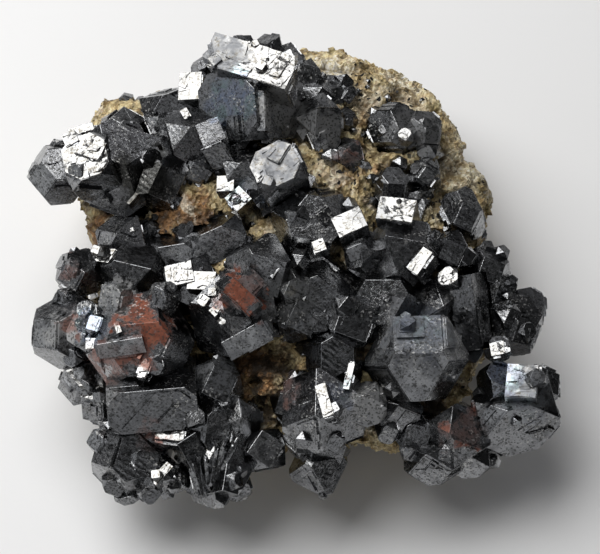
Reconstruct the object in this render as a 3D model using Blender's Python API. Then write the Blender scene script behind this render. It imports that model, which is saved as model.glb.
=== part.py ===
"""A galena specimen: clusters of lead-grey crystals, cubes with cut corners, on a rough tan siderite matrix.

The specimen is drawn in its face frame, in millimetres: u to the right along the crystal face, v up along
it and w out of it. The face then leans, and the whole stands on the matrix's flat sawn base, which is z = 0.
"""

import math
import random

import bmesh
import bpy
from mathutils import Matrix, Vector, noise

# Driving dimensions, in millimetres and degrees
MM = 0.001
FACE_LEAN = 30.0
BASE_BELOW_FACE = 34.0
EDGE_GAP = 0.3
DOME_DROP = 10.0
DOME_WIDTH = 50.0
DOME_HEIGHT = 48.0
FACE_SLOPE = 0.22
RIM_DROP = 7.0
ROCK_LIFT = 1.5
ROCK_DEPTH = 62.0
ROCK_DETAIL = 5
ROCK_KEPT_FACES = 0.14
SOCKETED_KEPT_FACES = 0.91
FACE_WOBBLE = 0.07
WHOLE_CUBE = 3
SEED = 7

# How the matrix rounds off towards its rim and behind it, and how soon behind the rim its blocks grow coarser
RIM_ROUNDING, BACK_ROUNDING, COARSER_BEHIND = 1.5, 0.8, 3.0

# The matrix's roughness: sizes of its lumps, knobs and blocks, how far they stand out on the crystal side,
# and what is added to that on the side away from the crystals
LUMP_SIZE, LUMP_RELIEF, LUMP_MORE_BEHIND = 14.0, 2.6, 2.0
KNOB_SIZE, KNOB_RELIEF, KNOB_PATTERN = 6.0, 1.3, Vector((5, 3, 1))
BLOCK_SIZE, BLOCK_RELIEF, BLOCK_MORE_BEHIND = 11.0, 1.8, 6.0
BLOCK_SIZE_MORE_BEHIND = 7.0
BLOCK_LEVEL, BLOCK_JOINT = 0.45, 0.3

# The matrix's edge seen along the face: angle from u in degrees, distance from the middle in millimetres
RIM = [
    (0, 39), (15, 40), (29, 43.5), (45, 45.5), (62, 47), (77, 47.5), (90, 48.5), (105, 44), (121, 45),
    (132, 51), (139, 55.5), (150, 54), (160, 49), (168, 44), (180, 43), (200, 41), (225, 39), (240, 37),
    (255, 38), (270, 35), (285, 36), (299, 39), (312, 42), (328, 41), (345, 39),
]

# Open pits in the matrix: u, v, depth of the middle below the surface, radius
PITS = [(-3.2, -16.6, 1.6, 3.7), (-7.4, -25.6, 1.6, 3.0), (-8.4, -20.4, 1.0, 2.0)]

# Swells of the matrix between the crystals: u, v, height, radius
SWELLS = [
    (-22, 12, 2.0, 8), (-6, 17, 2.0, 6), (-36, 35, 2.5, 6), (-43, 12, 2.5, 5), (-30, 30, 2.5, 4),
    (-3.5, -20, 3.0, 6), (18, -31, 3.0, 6), (38, 8, 2.0, 6), (10, 20, 1.5, 10), (8, 40, 2.0, 8),
]


def face_height(u, v):
    """Height w of the matrix's crystal side: a low dome that falls away upwards."""
    return -FACE_SLOPE * v - DOME_DROP * ((u / DOME_WIDTH) ** 2 + (v / DOME_HEIGHT) ** 2)


class Crystal:
    """One galena crystal: a cube of half-width half, with its eight corners cut at x + y + z = cut * half.
    A cut of 1 leaves an octahedron and WHOLE_CUBE leaves the cube.

    rise is its centre's height over the matrix. One cube face leans from w by lean degrees, towards the
    direction toward in the face (0 is u, 90 is v), and spin turns the crystal about that face's normal.
    stretch scales its three widths. breaks are flat fractures: toward, lean and distance from the centre.
    """

    def __init__(self, u, v, rise, half, cut, toward, lean, spin, stretch=(1, 1, 1), breaks=()):
        self.centre = Vector((u, v, face_height(u, v) + rise))
        self.half = half
        self.cut = cut
        self.turn = turn_of(toward, lean, spin)
        self.stretch = stretch
        self.breaks = breaks

    def near(self, other):
        """Whether the two crystals may touch."""
        reach = 1.5 * (self.half * max(self.stretch) + other.half * max(other.stretch))
        return (self.centre - other.centre).length < reach

    def planes(self, wobble):
        """The crystal's faces as (normal, distance) in the crystal's own axes."""
        found = []
        for axis in range(3):
            for side in (-1, 1):
                normal = Vector((0, 0, 0))
                normal[axis] = side
                found.append((normal, self.half * self.stretch[axis] * wobble()))
        corner = self.half * sum(self.stretch) / 3 * self.cut / math.sqrt(3)
        if self.cut < WHOLE_CUBE:
            for x in (-1, 1):
                for y in (-1, 1):
                    for z in (-1, 1):
                        found.append((Vector((x, y, z)).normalized(), corner * wobble()))
        for toward, lean, distance in self.breaks:
            outward = turn_of(toward, lean, 0) @ Vector((0, 0, 1))
            found.append((self.turn.inverted() @ outward, distance))
        return found


def turn_of(toward, lean, spin):
    """The rotation that leans an axis from w towards a direction in the face, then spins about that axis."""
    swing = Matrix.Rotation(math.radians(toward), 3, "Z")
    tip = Matrix.Rotation(math.radians(lean), 3, "Y")
    return swing @ tip @ swing.inverted() @ Matrix.Rotation(math.radians(spin), 3, "Z")


CROWN = [
    Crystal(-10.0, 34.8, 6, 7.5, 2.5, 185, 40, 5),
    Crystal(
        -9.4, 42.1, 15.4, 3.9, 3, 115, 28, -22, stretch=(2.7, 0.95, 1), breaks=((190, 85, 7.4), (0, 85, 8.8))
    ),
    Crystal(-22.0, 38.2, 6, 2.7, 3, 120, 25, 0, stretch=(0.85, 1.15, 1)),
    Crystal(-19.6, 42.8, 4, 2.6, 1.8, 60, 50, 20),
    Crystal(-17.8, 44.0, 7, 2.0, 2.4, 100, 30, 40),
    Crystal(-17.4, 27.6, 9, 3.3, 3, 112, 40, 22, stretch=(0.7, 1, 1)),
    Crystal(-11.6, 21.6, 4, 4.4, 2.2, -60, 35, 10),
    Crystal(-4.2, 20.6, 8, 4.6, 2.5, 110, 25, 27),
    Crystal(4.4, 32.4, 5, 4.0, 2.0, -40, 28, 45),
    Crystal(5.0, 28.4, 3, 2.9, 2.2, -60, 30, 20),
    Crystal(-6.6, 46.6, 1, 3.4, 2.0, -80, 30, 15),
    Crystal(-2.4, 44.6, 2, 3.4, 1.9, -60, 25, 40),
    Crystal(-12.0, 47.0, 1, 3.0, 2.0, 70, 50, 60),
    Crystal(1.0, 41.0, 2, 3.5, 1.9, 0, 8, 30),
    Crystal(3.2, 36.8, 2, 3.3, 1.9, -30, 35, 10),
    Crystal(-21.6, 28.4, 3, 5.6, 2.1, -60, 30, 10),
    Crystal(-26.2, 27.0, 4, 2.8, 2.0, 170, 35, 20, stretch=(0.8, 1.3, 1)),
    Crystal(-27.4, 34.4, 2, 4.4, 2.0, -60, 12, 15, stretch=(1.2, 0.9, 1)),
    Crystal(-20.8, 22.4, 2, 3.0, 2.0, -90, 30, 15),
    Crystal(-14.8, 18.2, 6, 1.8, 3, 115, 25, 0),
    Crystal(-12.0, 14.9, 5, 2.1, 3, 115, 25, 43),
    Crystal(-7.6, 14.6, 4, 1.9, 3, 20, 20, 35),
    Crystal(-11.0, 18.0, 1, 3.0, 2.0, -50, 30, 15),
    Crystal(-5.0, 15.0, 2, 2.8, 2.0, -30, 40, 25),
]

LEFT_POINT = [
    Crystal(-49.8, 21.4, 5, 5.8, 1.65, 200, 35, 0),
    Crystal(-36.4, 22.2, 6, 8.8, 1.75, 160, 45, 70),
    Crystal(-41.6, 22.4, 14.4, 4.9, 2.45, 128, 28, 15),
    Crystal(-42.4, 28.0, 12, 2.2, 3, 128, 28, 15, stretch=(1.2, 0.8, 1)),
    Crystal(-35.4, 28.6, 8, 2.6, 2.4, 60, 45, 15),
    Crystal(-30.6, 20.4, 4, 7.2, 1.7, -30, 35, 20),
    Crystal(-36.4, 29.6, 2, 4.4, 1.8, 70, 50, 10),
]

LOWER_LEFT = [
    Crystal(-32.0, -12.6, 9, 8.8, 1.75, 95, 50, 50),
    Crystal(-36.4, -4.8, 13, 2.6, 2.2, 95, 50, 50),
    Crystal(-27.0, -4.2, 12, 2.6, 2.2, 95, 50, 50),
    Crystal(-34.6, -13.0, 14.4, 3.4, 2.3, 95, 50, 50),
    Crystal(-47.0, -11.2, 5, 6.8, 1.7, 185, 35, 40),
    Crystal(-40.8, -10.6, 8, 4.6, 2.2, 150, 40, 60),
    Crystal(-44.4, 0.8, 4, 4.3, 1.8, 200, 20, 15),
    Crystal(-38.6, 3.4, 7, 2.2, 2.5, 110, 25, -10, stretch=(1.2, 0.7, 1)),
    Crystal(-35.6, 7.2, 3, 4.8, 1.9, -90, 30, 20),
    Crystal(-34.0, 0.4, 4, 5.4, 2.0, 80, 50, 30),
    Crystal(-23.4, -0.4, 8, 2.8, 3, 115, 25, 12, stretch=(1.0, 0.85, 1)),
    Crystal(-19.0, -1.6, 8.4, 2.5, 3, 118, 27, -5, stretch=(1.1, 0.8, 1)),
    Crystal(-21.6, -2.2, 4, 4.8, 1.9, -60, 12, 20),
    Crystal(-26.0, 5.2, 1, 3.6, 2.2, -90, 25, 10, stretch=(1.6, 0.75, 1)),
    Crystal(-16.6, 7.8, 1, 4.2, 2.2, -80, 20, 25, stretch=(1.5, 0.8, 1)),
    Crystal(-29.0, -23.4, 8.6, 7.4, 2.6, -85, 24, 5, stretch=(1.15, 0.64, 1)),
    Crystal(-25.4, -32.2, 8.5, 2.6, 3, 104, 24, -8, stretch=(1.1, 0.55, 1)),
    Crystal(-34.0, -36.0, 5, 7.0, 1.75, 160, 45, 30),
    Crystal(-28.4, -39.6, 7, 3.2, 2.2, 160, 45, 30),
    Crystal(-21.4, -36.0, 5, 5.2, 3, -35, 28, 30, stretch=(0.4, 1.3, 1)),
    Crystal(-18.6, -39.0, 4, 5.6, 2.6, -10, 30, 12, stretch=(0.35, 1.2, 1)),
    Crystal(-15.6, -36.6, 4, 5.4, 3, 20, 35, -14, stretch=(0.35, 1.3, 1)),
    Crystal(-12.8, -39.0, 3, 4.0, 2.5, 30, 25, -30, stretch=(0.5, 1.2, 1)),
    Crystal(-12.6, -41.6, 3, 2.4, 2.3, -70, 30, 20),
    Crystal(-17.4, -30.2, 4, 4.8, 2.2, -20, 35, 40, stretch=(1, 1.2, 1)),
    Crystal(-16.6, -21.4, 5, 4.6, 1.9, 10, 10, 20),
    Crystal(-12.6, -28.0, 4, 3.8, 2.0, -30, 52, 60),
    Crystal(-7.4, -34.6, 3, 4.0, 2.0, 40, 12, 10),
    Crystal(-27.2, -39.6, 9.5, 1.8, 3, 110, 25, 50, stretch=(1.4, 0.5, 1)),
    Crystal(-44.0, -21.4, 1, 4.0, 1.9, 200, 50, 10),
    Crystal(-40.0, -25.4, 1, 4.0, 1.9, 220, 40, 40),
]

CENTRE = [
    Crystal(-13.6, -7.0, 6, 7.0, 2.05, 45, 42, 45),
    Crystal(-11.8, -3.6, 11.5, 4.2, 3, 45, 32, -45, stretch=(0.55, 1.05, 0.9)),
    Crystal(-7.6, 1.4, 3, 6.0, 1.9, -60, 10, 30),
    Crystal(4.4, -3.6, 0, 6.8, 1.8, -70, 60, 65),
    Crystal(2.4, 10.6, 3, 6.8, 1.8, -100, 50, 35),
    Crystal(10.6, 9.2, 8, 3.1, 3, 110, 28, 24, stretch=(1, 0.78, 1.2)),
    Crystal(13.4, 5.0, 6, 3.4, 2.2, -50, 55, 85),
    Crystal(19.8, 11.4, 7, 3.9, 3, 106, 30, -10, stretch=(1, 0.66, 1.1)),
    Crystal(20.4, 5.0, 6, 5.8, 1.85, 80, 55, 35),
    Crystal(24.6, 2.2, 10, 2.5, 3, 130, 25, 55, stretch=(1.05, 0.5, 1.2)),
    Crystal(29.8, -0.6, 7, 1.9, 2.5, 110, 25, 0),
    Crystal(30.0, 5.4, 4, 3.3, 2.0, -40, 12, 20),
    Crystal(28.2, -5.4, 2, 4.4, 1.9, -20, 50, 70),
    Crystal(35.0, -7.0, 4, 4.6, 3, 186, 27, 8, stretch=(0.55, 1.75, 1)),
    Crystal(17.0, -4.6, 1, 6.6, 1.8, -30, 50, 15),
    Crystal(23.2, -16.0, 8, 8.2, 1.8, 92, 36, 47),
    Crystal(13.2, -25.2, 9, 3.5, 2.2, -88, 20, 20),
    Crystal(4.6, -26.4, 6, 7.4, 1.8, 150, 50, 55),
    Crystal(5.8, -25.2, 12.4, 3.4, 3, 130, 28, -72, stretch=(1.1, 0.32, 1)),
    Crystal(10.4, -20.4, 9.5, 2.6, 3, 130, 28, 80, stretch=(1.1, 0.25, 1)),
    Crystal(7.0, -15.2, 3, 5.7, 1.6, -60, 58, 75),
    Crystal(-2.0, -25.4, 2, 3.0, 2.0, 200, 10, 30),
    Crystal(19.0, -26.4, 3, 4.6, 1.9, -60, 40, 15),
    Crystal(3.6, -38.0, 2, 6.2, 1.15, -72, 75, 30),
    Crystal(4.6, -33.6, 2, 4.4, 1.9, -70, 30, 30),
    Crystal(0.0, 3.6, 7, 1.7, 2.0, -40, 40, 10),
    Crystal(4.0, 5.8, 8.5, 1.3, 3, 115, 25, 20),
    Crystal(7.2, 4.0, 8.5, 1.3, 3, 115, 25, 50),
    Crystal(10.4, -8.8, 3, 5.6, 1.8, 20, 8, 25),
    Crystal(0.0, -8.0, 3, 4.2, 1.9, -20, 8, 20),
    Crystal(-1.2, -1.4, 4, 3.4, 2.1, 60, 55, 15, stretch=(0.6, 1.4, 1)),
    Crystal(2.0, -32.6, 2, 4.0, 2.0, 30, 10, 40),
]

LOWER_RIGHT = [
    Crystal(43.6, -27.0, 7, 7.0, 2.3, -75, 38, 15, stretch=(1.1, 0.85, 0.9)),
    Crystal(44.6, -22.2, 11.5, 3.3, 3, 112, 30, -5, stretch=(1, 1.1, 1)),
    Crystal(39.8, -21.4, 8, 3.4, 2.2, 70, 42, 20),
    Crystal(48.4, -22.4, 5, 3.8, 1.9, 30, 40, 30),
    Crystal(31.6, -31.6, 5, 5.2, 2.2, 40, 35, 30),
    Crystal(27.0, -36.0, 3, 4.6, 2.0, -110, 35, 10, stretch=(1.3, 0.8, 1)),
    Crystal(34.0, -36.0, 3, 3.6, 2.1, -100, 40, 10, stretch=(1.3, 0.8, 1)),
    Crystal(22.6, -31.4, 2, 3.8, 2.0, -60, 20, 30),
]

RIGHT_EDGE = [
    Crystal(43.0, -9.8, 3, 6.0, 1.5, -40, 25, 30),
    Crystal(46.0, -6.6, 1, 4.2, 1.6, -20, 35, 50),
    Crystal(39.8, -14.6, 6, 2.1, 2.3, 75, 35, 10),
    Crystal(38.0, 1.2, 1, 4.6, 1.6, -10, 10, 25),
    Crystal(40.2, -3.0, 1, 3.6, 1.8, -30, 30, 30),
]

UPPER_RIGHT = [
    Crystal(19.6, 30.4, 0.5, 5.6, 1.4, -60, 25, 20),
    Crystal(24.8, 29.6, 0, 4.6, 1.5, -20, 30, 40),
    Crystal(21.6, 28.6, 5.6, 1.4, 2.2, 115, 25, 10),
]

# Crystals of the sides and the back, which stand out of the matrix below its rim
LEFT_SIDE = [
    Crystal(-37.4, -4.0, -17, 6.0, 1.8, 180, 70, 20),
    Crystal(-36.0, 5.0, -20, 5.2, 1.9, 170, 60, 50),
]

RIGHT_SIDE = [
    Crystal(35.0, -5.0, -16, 5.6, 1.8, 0, 65, 30),
    Crystal(33.6, 4.0, -19, 5.2, 2.0, 10, 75, 10),
]

BACK_LEFT = [
    Crystal(-22.0, 33.0, -33, 6.2, 1.9, 120, 70, 20),
    Crystal(-14.0, 36.6, -36, 5.0, 2.1, 100, 80, 50),
    Crystal(-19.6, 35.0, -36, 4.8, 1.8, 110, 65, 10),
]

BACK_RIGHT = [
    Crystal(12.0, 38.0, -31, 5.8, 1.9, 70, 70, 30),
    Crystal(19.4, 34.0, -34, 5.0, 2.2, 60, 75, 0),
    Crystal(13.4, 36.6, -35.5, 5.4, 1.8, 90, 70, 45),
]

CLUSTERS = {
    "crown_crystals": CROWN,
    "left_point_crystals": LEFT_POINT,
    "lower_left_crystals": LOWER_LEFT,
    "centre_crystals": CENTRE,
    "lower_right_crystals": LOWER_RIGHT,
    "right_edge_crystals": RIGHT_EDGE,
    "upper_right_crystals": UPPER_RIGHT,
    "left_side_crystals": LEFT_SIDE,
    "right_side_crystals": RIGHT_SIDE,
    "back_left_crystals": BACK_LEFT,
    "back_right_crystals": BACK_RIGHT,
    "right_set_crystal": [Crystal(33.4, 12.8, 1, 4.4, 1.7, -40, 8, 20, stretch=(0.85, 1.25, 1))],
    "red_sheen_crystal": [Crystal(9.8, 24.8, 1, 2.9, 2.0, -80, 30, 10)],
    "small_top_crystal": [Crystal(9.8, 37.4, 1, 2.0, 1.8, -60, 8, 10)],
    "small_middle_crystal": [Crystal(9.4, 32.4, 1, 2.2, 1.8, 30, 10, 40)],
    "small_right_crystal": [Crystal(25.6, 20.8, 1, 2.8, 1.7, -40, 8, 10)],
    "dull_crystal": [Crystal(18.6, 18.4, 1, 3.8, 1.6, -60, 20, 40)],
}


def rim_radius(angle):
    """The matrix's radius at an angle in degrees, eased between the points of RIM."""
    points = RIM + [(RIM[0][0] + 360, RIM[0][1])]
    for (low, near), (high, far) in zip(points, points[1:]):
        if low <= angle <= high:
            share = (1 - math.cos(math.pi * (angle - low) / (high - low))) / 2
            return near + (far - near) * share
    return RIM[0][1]


def rock_height(u, v):
    """Height w of the matrix between the crystals: the dome with its swells."""
    w = face_height(u, v) + ROCK_LIFT
    for middle_u, middle_v, height, radius in SWELLS:
        w += height * math.exp(-((u - middle_u) ** 2 + (v - middle_v) ** 2) / radius**2)
    return w


def rock_point(direction):
    """The point of the matrix's rough surface that a direction of the unit sphere goes to."""
    angle = math.degrees(math.atan2(direction.y, direction.x)) % 360
    reach = rim_radius(angle) * math.hypot(direction.x, direction.y)
    u = reach * math.cos(math.radians(angle))
    v = reach * math.sin(math.radians(angle))
    if direction.z >= 0:
        w = rock_height(u, v) - RIM_DROP * (1 - direction.z) ** RIM_ROUNDING
    else:
        w = rock_height(u, v) - RIM_DROP - ROCK_DEPTH * (-direction.z) ** BACK_ROUNDING
    point = Vector((u, v, w))
    behind = min(max(-direction.z * COARSER_BEHIND, 0), 1)
    lumps = (LUMP_RELIEF + LUMP_MORE_BEHIND * behind) * noise.noise(point / LUMP_SIZE)
    knobs = KNOB_RELIEF * noise.noise(point / KNOB_SIZE + KNOB_PATTERN)
    nearest, second = noise.voronoi(point / (BLOCK_SIZE + BLOCK_SIZE_MORE_BEHIND * behind))[0][:2]
    joint = min(second - nearest, BLOCK_LEVEL) - BLOCK_JOINT
    blocks = (BLOCK_RELIEF + BLOCK_MORE_BEHIND * behind) * joint
    return point + direction * (lumps + knobs + blocks)


def slice_off(mesh, normal, distance):
    """Removes all of a closed bmesh that lies past a plane, and closes the cut."""
    everything = mesh.verts[:] + mesh.edges[:] + mesh.faces[:]
    cut = bmesh.ops.bisect_plane(
        mesh, geom=everything, dist=1e-6, plane_co=normal * distance, plane_no=normal, clear_outer=True
    )
    rim = [part for part in cut["geom_cut"] if isinstance(part, bmesh.types.BMEdge)]
    if rim:
        bmesh.ops.edgeloop_fill(mesh, edges=rim)


def crystal_shape(crystal, grow=0.0):
    """The crystal as a mesh in the face frame, each face pushed out by grow."""
    chance = random.Random(str((SEED, crystal.half, *crystal.centre)))
    shape = bmesh.new()
    bmesh.ops.create_cube(shape, size=5 * crystal.half)
    for normal, distance in crystal.planes(lambda: chance.uniform(1 - FACE_WOBBLE, 1 + FACE_WOBBLE)):
        slice_off(shape, normal, distance + grow)
    bmesh.ops.transform(shape, matrix=crystal.turn.to_4x4(), verts=shape.verts)
    bmesh.ops.translate(shape, vec=crystal.centre, verts=shape.verts)
    bmesh.ops.scale(shape, vec=(MM, MM, MM), verts=shape.verts)
    return mesh_from(shape)


def mesh_from(shape):
    mesh = bpy.data.meshes.new("shape")
    bmesh.ops.recalc_face_normals(shape, faces=shape.faces)
    shape.to_mesh(mesh)
    shape.free()
    return mesh


def boolean(mesh, tools, operation):
    """The mesh after one Boolean with all the tool meshes."""
    helpers = bpy.data.collections.new("tools")
    bpy.context.scene.collection.children.link(helpers)
    for tool in tools:
        helpers.objects.link(bpy.data.objects.new("tool", tool))
    body = bpy.data.objects.new("body", mesh)
    bpy.context.scene.collection.objects.link(body)
    joined = body.modifiers.new("boolean", "BOOLEAN")
    joined.operation = operation
    joined.solver = "EXACT"
    joined.operand_type = "COLLECTION"
    joined.collection = helpers
    graph = bpy.context.evaluated_depsgraph_get()
    result = bpy.data.meshes.new_from_object(body.evaluated_get(graph))
    for helper in [body, *helpers.objects]:
        bpy.data.objects.remove(helper)
    bpy.data.collections.remove(helpers)
    return result


def simplified(mesh, share):
    """The mesh with only this share of its faces left."""
    body = bpy.data.objects.new("body", mesh)
    bpy.context.scene.collection.objects.link(body)
    fewer = body.modifiers.new("decimate", "DECIMATE")
    fewer.ratio = share
    graph = bpy.context.evaluated_depsgraph_get()
    result = bpy.data.meshes.new_from_object(body.evaluated_get(graph))
    bpy.data.objects.remove(body)
    return result


def largest_body(mesh):
    """The mesh without the loose crumbs that a cut may leave beside its main body."""
    shape = bmesh.new()
    shape.from_mesh(mesh)
    unseen = set(shape.verts)
    bodies = []
    while unseen:
        front = [unseen.pop()]
        body = set(front)
        while front:
            for edge in front.pop().link_edges:
                for vert in edge.verts:
                    if vert in unseen:
                        unseen.discard(vert)
                        body.add(vert)
                        front.append(vert)
        bodies.append(body)
    bodies.sort(key=len)
    crumbs = [vert for body in bodies[:-1] for vert in body]
    bmesh.ops.delete(shape, geom=crumbs, context="VERTS")
    return mesh_from(shape)


def rock_mesh():
    """The matrix as a rough lump, before its pits, the crystals' sockets and its base are cut."""
    shape = bmesh.new()
    bmesh.ops.create_icosphere(shape, subdivisions=ROCK_DETAIL, radius=1)
    for vert in shape.verts:
        vert.co = rock_point(vert.co) * MM
    return simplified(mesh_from(shape), ROCK_KEPT_FACES)


def sawn_flat(mesh):
    """The mesh cut off level at the base that the leaning specimen stands on."""
    sawn = bmesh.new()
    sawn.from_mesh(mesh)
    down = Vector((0, -math.sin(math.radians(FACE_LEAN)), -math.cos(math.radians(FACE_LEAN))))
    slice_off(sawn, down, BASE_BELOW_FACE * MM)
    bmesh.ops.triangulate(sawn, faces=sawn.faces)
    return mesh_from(sawn)


def pit_mesh(u, v, depth, radius):
    shape = bmesh.new()
    bmesh.ops.create_icosphere(shape, subdivisions=2, radius=radius)
    bmesh.ops.translate(shape, vec=(u, v, rock_height(u, v) - depth), verts=shape.verts)
    bmesh.ops.scale(shape, vec=(MM, MM, MM), verts=shape.verts)
    return mesh_from(shape)


def finish_material(name, colour, metallic, roughness):
    material = bpy.data.materials.new(name)
    material.use_nodes = True
    shader = material.node_tree.nodes["Principled BSDF"]
    shader.inputs["Base Color"].default_value = (*colour, 1)
    shader.inputs["Metallic"].default_value = metallic
    shader.inputs["Roughness"].default_value = roughness
    return material


def add_node(name, mesh, material, specimen, holder):
    """One named piece of the specimen, parented to the leaning specimen frame."""
    node = bpy.data.objects.new(name, mesh)
    mesh.materials.clear()
    mesh.materials.append(material)
    holder.objects.link(node)
    node.parent = specimen
    return node


def stand_on_base(specimen, nodes):
    """Leans the face, and puts the origin under the middle of the specimen's box, on its base."""
    specimen.rotation_euler = (math.radians(FACE_LEAN), 0, 0)
    specimen.location = (0, 0, BASE_BELOW_FACE * MM)
    bpy.context.view_layer.update()
    corners = [node.matrix_world @ vert.co for node in nodes for vert in node.data.vertices]
    middle_x = (min(c.x for c in corners) + max(c.x for c in corners)) / 2
    middle_y = (min(c.y for c in corners) + max(c.y for c in corners)) / 2
    specimen.location = (-middle_x, -middle_y, BASE_BELOW_FACE * MM)
    bpy.context.view_layer.update()


def build():
    for old in list(bpy.data.objects):
        bpy.data.objects.remove(old)
    holder = bpy.data.collections.new("galena specimen")
    bpy.context.scene.collection.children.link(holder)
    specimen = bpy.data.objects.new("specimen_frame", None)
    holder.objects.link(specimen)
    galena = finish_material("galena", (0.24, 0.25, 0.26), 1.0, 0.32)
    siderite = finish_material("siderite", (0.46, 0.37, 0.23), 0.0, 0.85)

    nodes = []
    grown = []
    for name, crystals in CLUSTERS.items():
        shapes = [crystal_shape(crystal) for crystal in crystals]
        cluster = boolean(shapes[0], shapes[1:], "UNION") if shapes[1:] else shapes[0]
        touching = [other for other in grown if any(other.near(crystal) for crystal in crystals)]
        if touching:
            sockets = [crystal_shape(other, EDGE_GAP) for other in touching]
            cluster = largest_body(boolean(cluster, sockets, "DIFFERENCE"))
        grown += crystals
        nodes.append(add_node(name, cluster, galena, specimen, holder))

    sockets = [crystal_shape(crystal, EDGE_GAP) for crystal in grown]
    hollowed = boolean(rock_mesh(), [pit_mesh(*pit) for pit in PITS] + sockets, "DIFFERENCE")
    rock = sawn_flat(simplified(hollowed, SOCKETED_KEPT_FACES))
    nodes.append(add_node("matrix", largest_body(rock), siderite, specimen, holder))
    stand_on_base(specimen, nodes)


build()
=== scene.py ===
"""The galena specimen's looks: stepped metallic crystals on a granular siderite matrix, on a pale floor.

Places on the specimen are given in its face frame, in millimetres: u to the right along the crystal face, v
up along it and w out of it. The face leans back by FACE_LEAN, and the camera looks straight along w.
"""

import math
import random

import bmesh
import bpy
from mathutils import Matrix, Vector, noise
from mathutils.bvhtree import BVHTree


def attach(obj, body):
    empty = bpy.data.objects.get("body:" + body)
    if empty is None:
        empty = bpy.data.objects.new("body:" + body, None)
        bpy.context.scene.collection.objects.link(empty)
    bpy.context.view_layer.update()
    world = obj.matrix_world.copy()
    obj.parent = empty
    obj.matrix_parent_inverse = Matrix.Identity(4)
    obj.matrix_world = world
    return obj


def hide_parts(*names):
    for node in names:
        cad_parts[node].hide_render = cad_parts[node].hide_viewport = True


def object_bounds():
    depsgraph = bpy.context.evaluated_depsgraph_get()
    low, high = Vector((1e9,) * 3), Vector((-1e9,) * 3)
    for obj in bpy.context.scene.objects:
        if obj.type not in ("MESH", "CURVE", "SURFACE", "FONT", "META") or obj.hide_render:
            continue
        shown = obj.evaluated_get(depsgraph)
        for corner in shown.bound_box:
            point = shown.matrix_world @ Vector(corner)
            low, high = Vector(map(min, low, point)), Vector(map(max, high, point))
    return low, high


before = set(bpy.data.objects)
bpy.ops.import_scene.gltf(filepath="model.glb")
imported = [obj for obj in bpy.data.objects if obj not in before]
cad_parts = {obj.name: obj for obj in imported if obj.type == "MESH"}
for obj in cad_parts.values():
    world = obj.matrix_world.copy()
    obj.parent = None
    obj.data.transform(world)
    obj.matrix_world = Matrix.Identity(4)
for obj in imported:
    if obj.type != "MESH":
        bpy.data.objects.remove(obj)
CAD_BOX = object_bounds()

# The face frame's lean and origin in the row's frame, and the camera over it, in degrees and millimetres
MM = 0.001
FACE_LEAN = 30.0
FACE_ORIGIN = Vector((1.9711, -10.4262, 34.0))
VIEW_WIDTH = 120.0
CAMERA_DISTANCE = 500.0
FOCUS_HEIGHT = 5.0
FACE_TO_ROW = Matrix.Translation(FACE_ORIGIN * MM) @ Matrix.Rotation(math.radians(FACE_LEAN), 4, "X")
ROW_TO_FACE = FACE_TO_ROW.inverted()

GALENA_NODES = [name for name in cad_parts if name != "matrix"]

# The matrix's broken blocks and chips: their sizes in millimetres, how steeply their faces lie, and the
# spread of the pattern that each one's slope is drawn from
BLOCK_SIZE, CHIP_SIZE, BLOCK_TILT, BLOCK_SPREAD = 6.5, 2.6, 0.55, 17
HALF = Vector((0.5, 0.5, 0.5))

# The matrix's finer relief in millimetres: its voxels, the sizes of swells, of the stretches that have vugs
# and of the vugs, then how high swells and grains stand and how deep vugs go
VOXEL = 0.68
SWELL_SIZE, VUGGY_SIZE, VUG_SIZE = 2.6, 13, 3.6
SWELL_HEIGHT, GRAIN_HEIGHT, VUG_DEPTH = 0.5, 0.35, 1.7

# The heights over the base between which the relief sets in, and how much painted shade darkens a sunken
# point
SMOOTH_FOOT, ROUGH_FROM, SUNKEN_SHADE = 0.05, 1.6, 0.55

# How near points are welded, in millimetres, and within how many degrees triangles make one flat face
WELD, FLAT_ENOUGH = 0.004, 0.4

# The listed places: how far their edges wander in metres, and where they fade, as shares of the radius
RAGGED = 0.014
PLACE_OUTSIDE, PLACE_INSIDE = 1.15, 0.7

# Seeds of the crystals' shapes, of the scattered crystals' tones, and of the scatters of grains and of ore
SHAPE_SEED, TONE_SEED = 11, 5
GRAIN_SEED, ORE_SEED = 3, 9

# The direction of the pale ceiling, behind the specimen and above it
CEILING = (-0.25, 0.55, 0.8)

# Directions of the bright cleaved faces: toward, lean and how far off a face may be, in degrees, then the
# smallest face that is cleaved and the smallest that has growth plates, in square millimetres
CLEAVED = [(115, 28, 12)]
SMALLEST_CLEAVED = 1.5
SMALLEST_PLATED = 7.0

# A crystal's worn edges: how far they are cut back, and the shortest edge and the least angle that wear
EDGE_WEAR, SHORTEST_WORN, BLUNTEST_WORN = 0.05, 0.5, 15.0

# Growth plates: how far their sides lean in, as a share of their size, how far their tops tilt, as a slope,
# and the smallest, in square millimetres, then the last two for the splinters of a cleaved face
PLATE_TAPER, PLATE_TILT, SMALLEST_PLATE = 0.02, 0.012, 1.2
SPLINTER_TILT, SMALLEST_SPLINTER = 0.09, 0.25

# The scatters: how sharply a patch ends, and how much commoner small grains are than large ones
PATCH_FADE, MOSTLY_SMALL = 0.08, 2.2

# How scattered galena takes cleavage, red-brown colour and painted blue reflection
ORE_LOOK = (0, 0.5, 0)
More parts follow.
